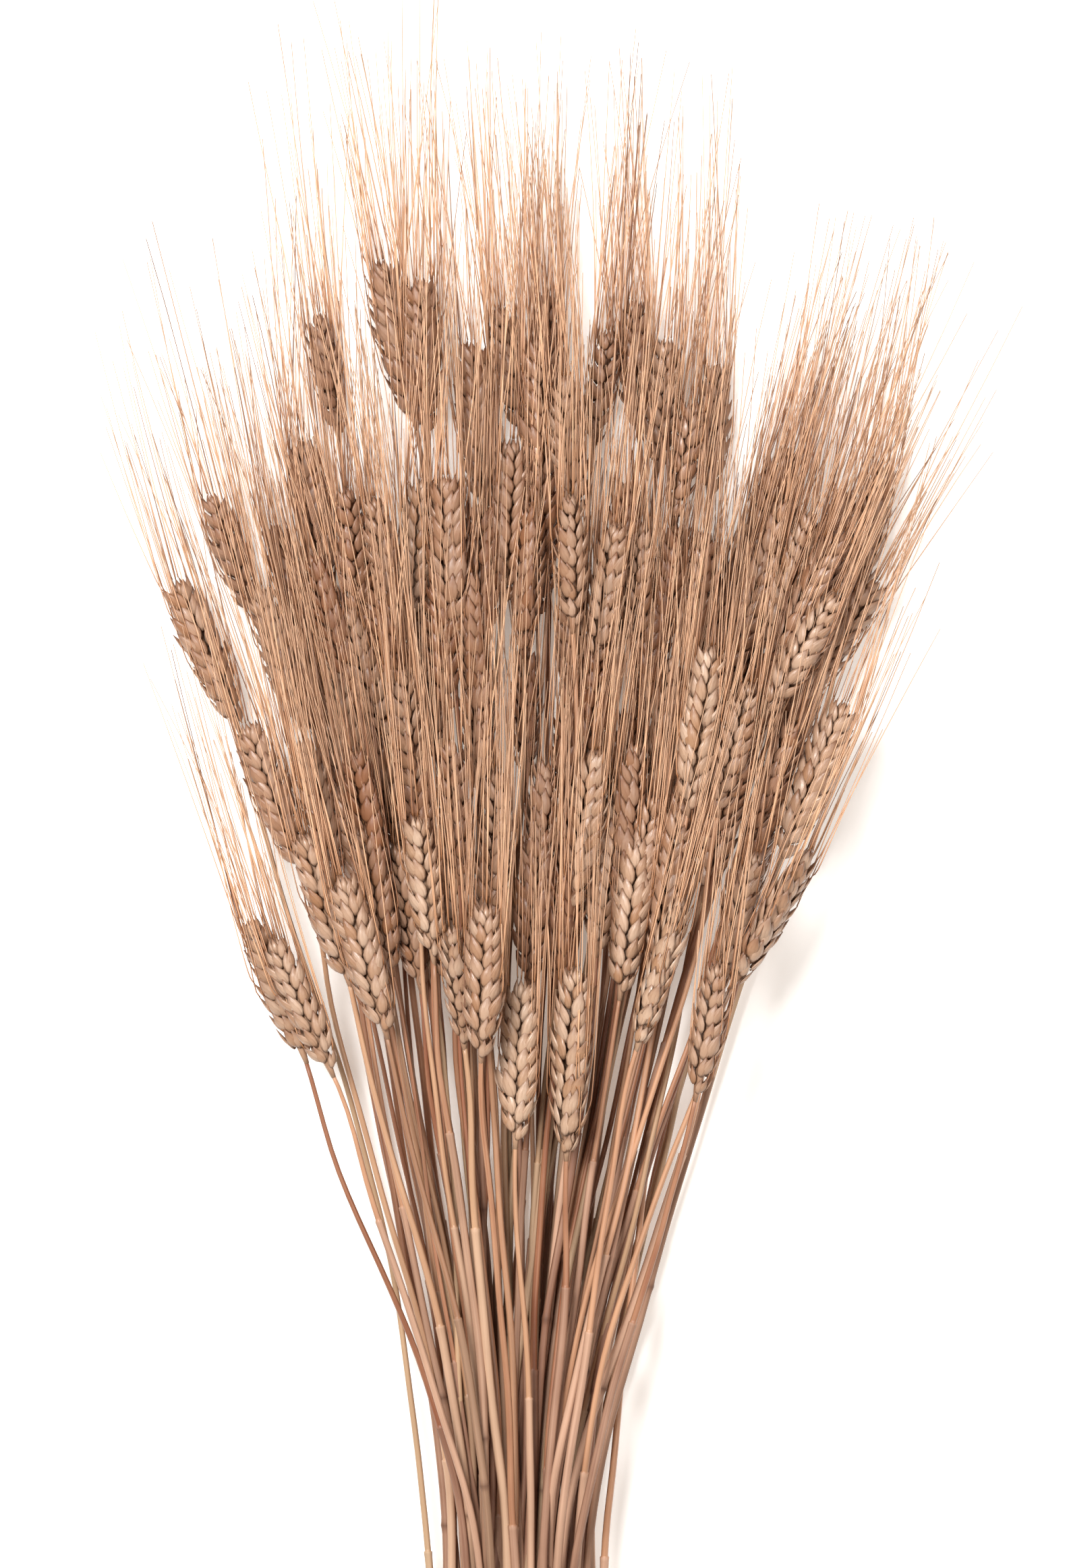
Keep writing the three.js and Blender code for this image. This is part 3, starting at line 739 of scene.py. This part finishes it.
for inner in range(1, bundleLook["innerStalks"] + 1):
    chosen = int(np.argmax(room))
    if room[chosen] == 0:
        break
    rng = np.random.default_rng([bundleLook["seed"], 100 + inner])
    makeStalk(f"inner_ear_{inner:02d}", between[chosen], rng, inner=True)
    room = np.minimum(room, np.linalg.norm((spots - spots[chosen])[:, :2], axis=1))
print("inner stalks made:", inner)


# Jute: rough brown bast fibre, spun into two plies and laid up. Its fibres lie along each ply and
# show as fine light and dark streaks, it has no gloss, and short hairs stand off it.
juteLook = {
    "light": "#C6A473", "dark": "#86653F", "hair": "#CDB18B",
    "fibres": 11, "fibreLength": 6,  # round a ply, and mm; both coarser than the real, to show
    "fibreDepth": 0.0003,  # m
}


def juteMaterial(look):
    material, tree = newMaterial("spun_jute")
    uv = addNode(tree, "ShaderNodeUVMap", uv_map="UVMap")
    seen = addNode(tree, "ShaderNodeAttribute", attribute_name="look").outputs["Vector"]
    tone, hairy, _ = addNode(tree, "ShaderNodeSeparateXYZ", {"Vector": seen}).outputs
    place = addNode(tree, "ShaderNodeMapping",
                    {"Vector": uv, "Scale": (look["fibres"], 1 / look["fibreLength"], 1)})
    fibres = addNode(tree, "ShaderNodeTexNoise", {"Vector": place, "Scale": 1.0, "Detail": 3.0})
    depth = addNode(tree, "ShaderNodeMath", {0: tone, 1: 0.5, 2: fibres}, operation="MULTIPLY_ADD")
    shade = addNode(tree, "ShaderNodeMapRange", {"Value": depth, "From Min": 0.45, "From Max": 1.05})
    body = addNode(tree, "ShaderNodeMix",
                   {0: shade, 6: linear(look["light"]), 7: linear(look["dark"])}, data_type="RGBA")
    colour = addNode(tree, "ShaderNodeMix", {0: hairy, 6: body.outputs[2], 7: linear(look["hair"])},
                     data_type="RGBA")
    bump = addNode(tree, "ShaderNodeBump",
                   {"Height": fibres, "Strength": 0.8, "Distance": look["fibreDepth"]})
    surface = addNode(tree, "ShaderNodeBsdfPrincipled",
                      {"Base Color": colour.outputs[2], "Roughness": 0.9, "Normal": bump,
                       "IOR": 1.5, "Specular IOR Level": 0.2})
    addNode(tree, "ShaderNodeOutputMaterial", {"Surface": surface})
    return material


twineSizes = {
    "radius": 1.5,  # mm over both plies, as in the solid
    "turns": 5,
    "plies": 2, "plyShare": 0.56,  # a ply's radius over the twine's
    "lay": 8.0,  # mm along the twine for one turn of the plies round each other
    "step": 1.0, "sides": 8,
    "hairs": 1.6, "hairLength": (2.5, 7.0), "hairRadius": 0.07,  # hairs per mm of twine, and mm
    "frayed": 26, "frayLength": (3.0, 7.5),  # loose fibres at each cut end, and mm
    "knotWidth": 3.7, "knotHeight": 1.5,  # mm from the knot's middle to its loops, across and up
    "knotOpening": 0.42,  # radians of the loops cut out on either side
    "endBend": (8.0, 0.8, 1.0),  # mm to where a cut end bends: across, past its loop, and up
    "endTip": (13.5, 5.6, -0.6),  # mm from the knot's middle to its tip
    "swell": 0.06,  # how much thicker and thinner a ply gets
}


# Evenly spaced points on a path, its direction there, and two directions square to it, the first of
# them square to the reference direction as well.
def followPath(points, step, reference):
    gone = np.concatenate([[0], np.cumsum(np.linalg.norm(np.diff(points, axis=0), axis=1))])
    at = np.linspace(0, gone[-1], int(gone[-1] / step))
    middle = np.stack([np.interp(at, gone, points[:, k]) for k in range(3)], -1)
    along = unit(np.gradient(middle, axis=0))
    side = unit(np.cross(along, reference))
    return at, middle, along, side, np.cross(side, along)


# Loose fibres: from its foot each runs out along its start, and sinks towards its bend as t squared.
def hairSkin(foot, start, bend, length, radius):
    t = np.array([0, 0.3, 0.65, 1])
    middle = (foot[:, None] + start[:, None] * (length[:, None] * t)[..., None]
              + bend[:, None] * (0.45 * length[:, None] * t**2)[..., None])
    side = unit(np.cross(start, bend + 1e-3))
    over = np.cross(side, start)
    turn = np.arange(3) * 2 * np.pi / 3
    ring = side[:, None] * np.cos(turn)[:, None] + over[:, None] * np.sin(turn)[:, None]
    rings = middle[:, :, None] + (radius * (1 - 0.7 * t))[:, None, None] * ring[:, None]
    looks = np.broadcast_to([0.3, 0.8, 0.0], (*middle.shape[:2], 3))
    return skin(rings, length[:, None] * t, looks, 0)


# Laid twine on a path: the middle of each ply circles the path at the twine's radius less its own,
# once in each lay, and the ply's own section turns with it. Hairs stand off it, and cut ends are
# frayed.
def twineSkins(points, sizes, reference, rng, frayed):
    at, middle, along, side, over = followPath(points, sizes["step"], reference)
    radius = sizes["radius"]
    thick = radius * sizes["plyShare"]
    phase = 2 * np.pi * (at / sizes["lay"] + np.arange(sizes["plies"])[:, None] / sizes["plies"])
    away = side * np.cos(phase)[..., None] + over * np.sin(phase)[..., None]
    plies = middle + away * (radius - thick)
    turn = np.arange(sizes["sides"]) * 2 * np.pi / sizes["sides"] + phase[..., None]
    swell = 1 + sizes["swell"] * np.sin(at / 2.3 + rng.uniform(0, 6, (sizes["plies"], 1)))
    ring = side[:, None] * np.cos(turn)[..., None] + over[:, None] * np.sin(turn)[..., None]
    rings = plies[:, :, None] + thick * swell[..., None, None] * ring
    spots = np.arange(0, at[-1] + 20, 20)  # the tone changes every 20 mm
    tone = np.interp(at, spots, rng.random(len(spots)))
    looks = np.stack([tone, np.zeros(len(at)), np.zeros(len(at))], -1)
    looks = np.broadcast_to(looks, (sizes["plies"], len(at), 3))
    body = skin(rings, np.broadcast_to(at, (sizes["plies"], len(at))), looks, 0)

    count = int(at[-1] * sizes["hairs"])
    where = rng.integers(1, len(at) - 1, count)
    angle = rng.uniform(0, 2 * np.pi, count)
    outward = side[where] * np.cos(angle)[:, None] + over[where] * np.sin(angle)[:, None]
    foot = middle[where] + outward * radius * 0.85
    start = unit(outward * rng.uniform(0.15, 0.8, (count, 1))
                 + along[where] * rng.choice([-1, 1], (count, 1)))
    hairs = hairSkin(foot, start, unit(rng.normal(0, 1, (count, 3)) - outward * 0.6),
                     rng.uniform(*sizes["hairLength"], count), sizes["hairRadius"])
    parts = [body, hairs]
    for end, way in ((0, -1), (-1, 1)) if frayed else ():
        count = sizes["frayed"]
        spread = rng.normal(0, 1, (count, 3))
        foot = middle[end] - along[end] * way * 1.2 + spread * radius * 0.28
        start = unit(along[end] * way + spread * 0.22)
        parts.append(hairSkin(foot, start, unit(spread + [0, 0, -0.4]),
                              rng.uniform(*sizes["frayLength"], count), sizes["hairRadius"] * 1.7))
    return parts


jute = juteMaterial(juteLook)

# The winding follows its solid: an ellipse seen along Y, moving on by one pitch in each turn.
rng = np.random.default_rng([bundleLook["seed"], 900])
radius, turns = twineSizes["radius"], twineSizes["turns"]
halfWidth, advance, halfHeight = (tieHigh - tieLow) / 2 - radius
tieMiddle = (tieLow + tieHigh) / 2
turned = np.linspace(0, 2 * np.pi * turns, 180 * turns)
route = tieMiddle + np.stack([halfWidth * np.sin(turned), advance * (turned / np.pi / turns - 1),
                              halfHeight * np.cos(turned)], -1)
winding = makePiece("bound_twine", twineSkins(route, twineSizes, [0, 1.0, 0], rng, False), [jute])
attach(winding, "root")
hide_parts("twine_binding")

# The knot: three crossing loops, as x = sin t + 2 sin 2t, y = 2 cos 2t - cos t, z = sin 3t, cut
# open at the loop nearest the ears, from where both ends run out sideways and lie on the winding.
knotLow, knotHigh = (np.array(corner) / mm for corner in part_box("twine_knot"))
knotMiddle = (knotLow + knotHigh) / 2
knotMiddle[1] = tieMiddle[1]
cutAt = np.pi - twineSizes["knotOpening"]
t = np.linspace(-cutAt, cutAt, 90)
loops = np.stack([(np.sin(t) + 2 * np.sin(2 * t)) / 3 * twineSizes["knotWidth"],
                  (2 * np.cos(2 * t) - np.cos(t)) / 3 * twineSizes["knotWidth"],
                  np.sin(3 * t) * twineSizes["knotHeight"]], -1)
u = np.linspace(0, 1, 24)[:, None]
bend, endTip = twineSizes["endBend"], twineSizes["endTip"]
ends = []
for loopEnd, way in ((loops[0], -1), (loops[-1], 1)):
    corner = np.array([way * bend[0], loopEnd[1] + bend[1], way * bend[2]])
    last = np.array([way * endTip[0], endTip[1], endTip[2]])
    ends.append((1 - u) ** 2 * loopEnd + 2 * u * (1 - u) * corner + u**2 * last)
route = knotMiddle + np.concatenate([ends[0][::-1], loops[1:-1], ends[1]])
for _ in range(3):  # eases the corners where the ends leave the loops
    route[1:-1] = (route[:-2] + 2 * route[1:-1] + route[2:]) / 4
knotSkins = twineSkins(route, twineSizes, [0, 0, 1.0], rng, True)
knot = makePiece("twine_overhand_knot", knotSkins, [jute])
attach(knot, "root")
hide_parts("twine_knot")
print("twine wound and knotted")


half = 3.0  # m, half the side of the surface
floorMesh = bpy.data.meshes.new("surface")
floorMesh.from_pydata([(-half, -half, 0), (half, -half, 0), (half, half, 0), (-half, half, 0)], [],
                      [(0, 1, 2, 3)])
floor = bpy.data.objects.new("surface", floorMesh)
bpy.context.scene.collection.objects.link(floor)
# Matte white board, coated and quite dull. A little light of its own keeps the shade on it soft.
board, boardTree = newMaterial("matte_white_board")
boardSurface = addNode(boardTree, "ShaderNodeBsdfPrincipled",
                       {"Base Color": linear("#F7F6F4"), "Roughness": 0.9,
                        "Emission Color": linear("#FFF0E0"), "Emission Strength": 0.3})
addNode(boardTree, "ShaderNodeOutputMaterial", {"Surface": boardSurface})
floorMesh.materials.append(board)

world = bpy.data.worlds.new("studio")
bpy.context.scene.world = world
world.use_nodes = True
world.node_tree.nodes["Background"].inputs["Color"].default_value = linear("#FFFDFB")
world.node_tree.nodes["Background"].inputs["Strength"].default_value = 0.28

lamps = [
    # name, place (m), size (m), watts
    ("key_softbox", (-0.6, 0.6, 1.8), 0.8, 56),
    ("fill_softbox", (1.0, 0.0, 1.7), 1.2, 14),
]
lookedAt = Vector((0, 0, 0.02))
for name, place, size, watts in lamps:
    light = bpy.data.lights.new(name, "AREA")
    light.shape = "DISK"
    light.size = size
    light.energy = watts
    lamp = bpy.data.objects.new(name, light)
    lamp.location = place
    lamp.rotation_euler = (lookedAt - Vector(place)).to_track_quat("-Z", "Y").to_euler()
    bpy.context.scene.collection.objects.link(lamp)

view = {
    "distance": 2.3,  # m over the bundle
    "frameHeight": 0.604,  # m shown from bottom to top
    "bottomAfterTie": 0.028,  # m from the tie to the bottom of the frame
    "across": 0.006,  # m, middle of the frame from the tie's middle
    "middleHeight": 0.03,  # m, the height in the bundle that this distance and frame are taken from
    "sensor": 36.0,  # mm
}
tie = tieMiddle * mm
cameraData = bpy.data.cameras.new("camera")
cameraData.sensor_fit = "VERTICAL"
cameraData.sensor_height = view["sensor"]
cameraData.sensor_width = view["sensor"]
cameraData.lens = view["sensor"] * view["distance"] / view["frameHeight"]
camera = bpy.data.objects.new("camera", cameraData)
camera.location = (tie[0] + view["across"],
                   tie[1] + view["bottomAfterTie"] + view["frameHeight"] / 2,
                   view["middleHeight"] + view["distance"])
camera.rotation_euler = (0, 0, 0)  # straight down, ears at the top
bpy.context.scene.collection.objects.link(camera)
bpy.context.scene.camera = camera
bpy.context.scene.view_settings.view_transform = "Standard"
print("surface, lights and camera placed")
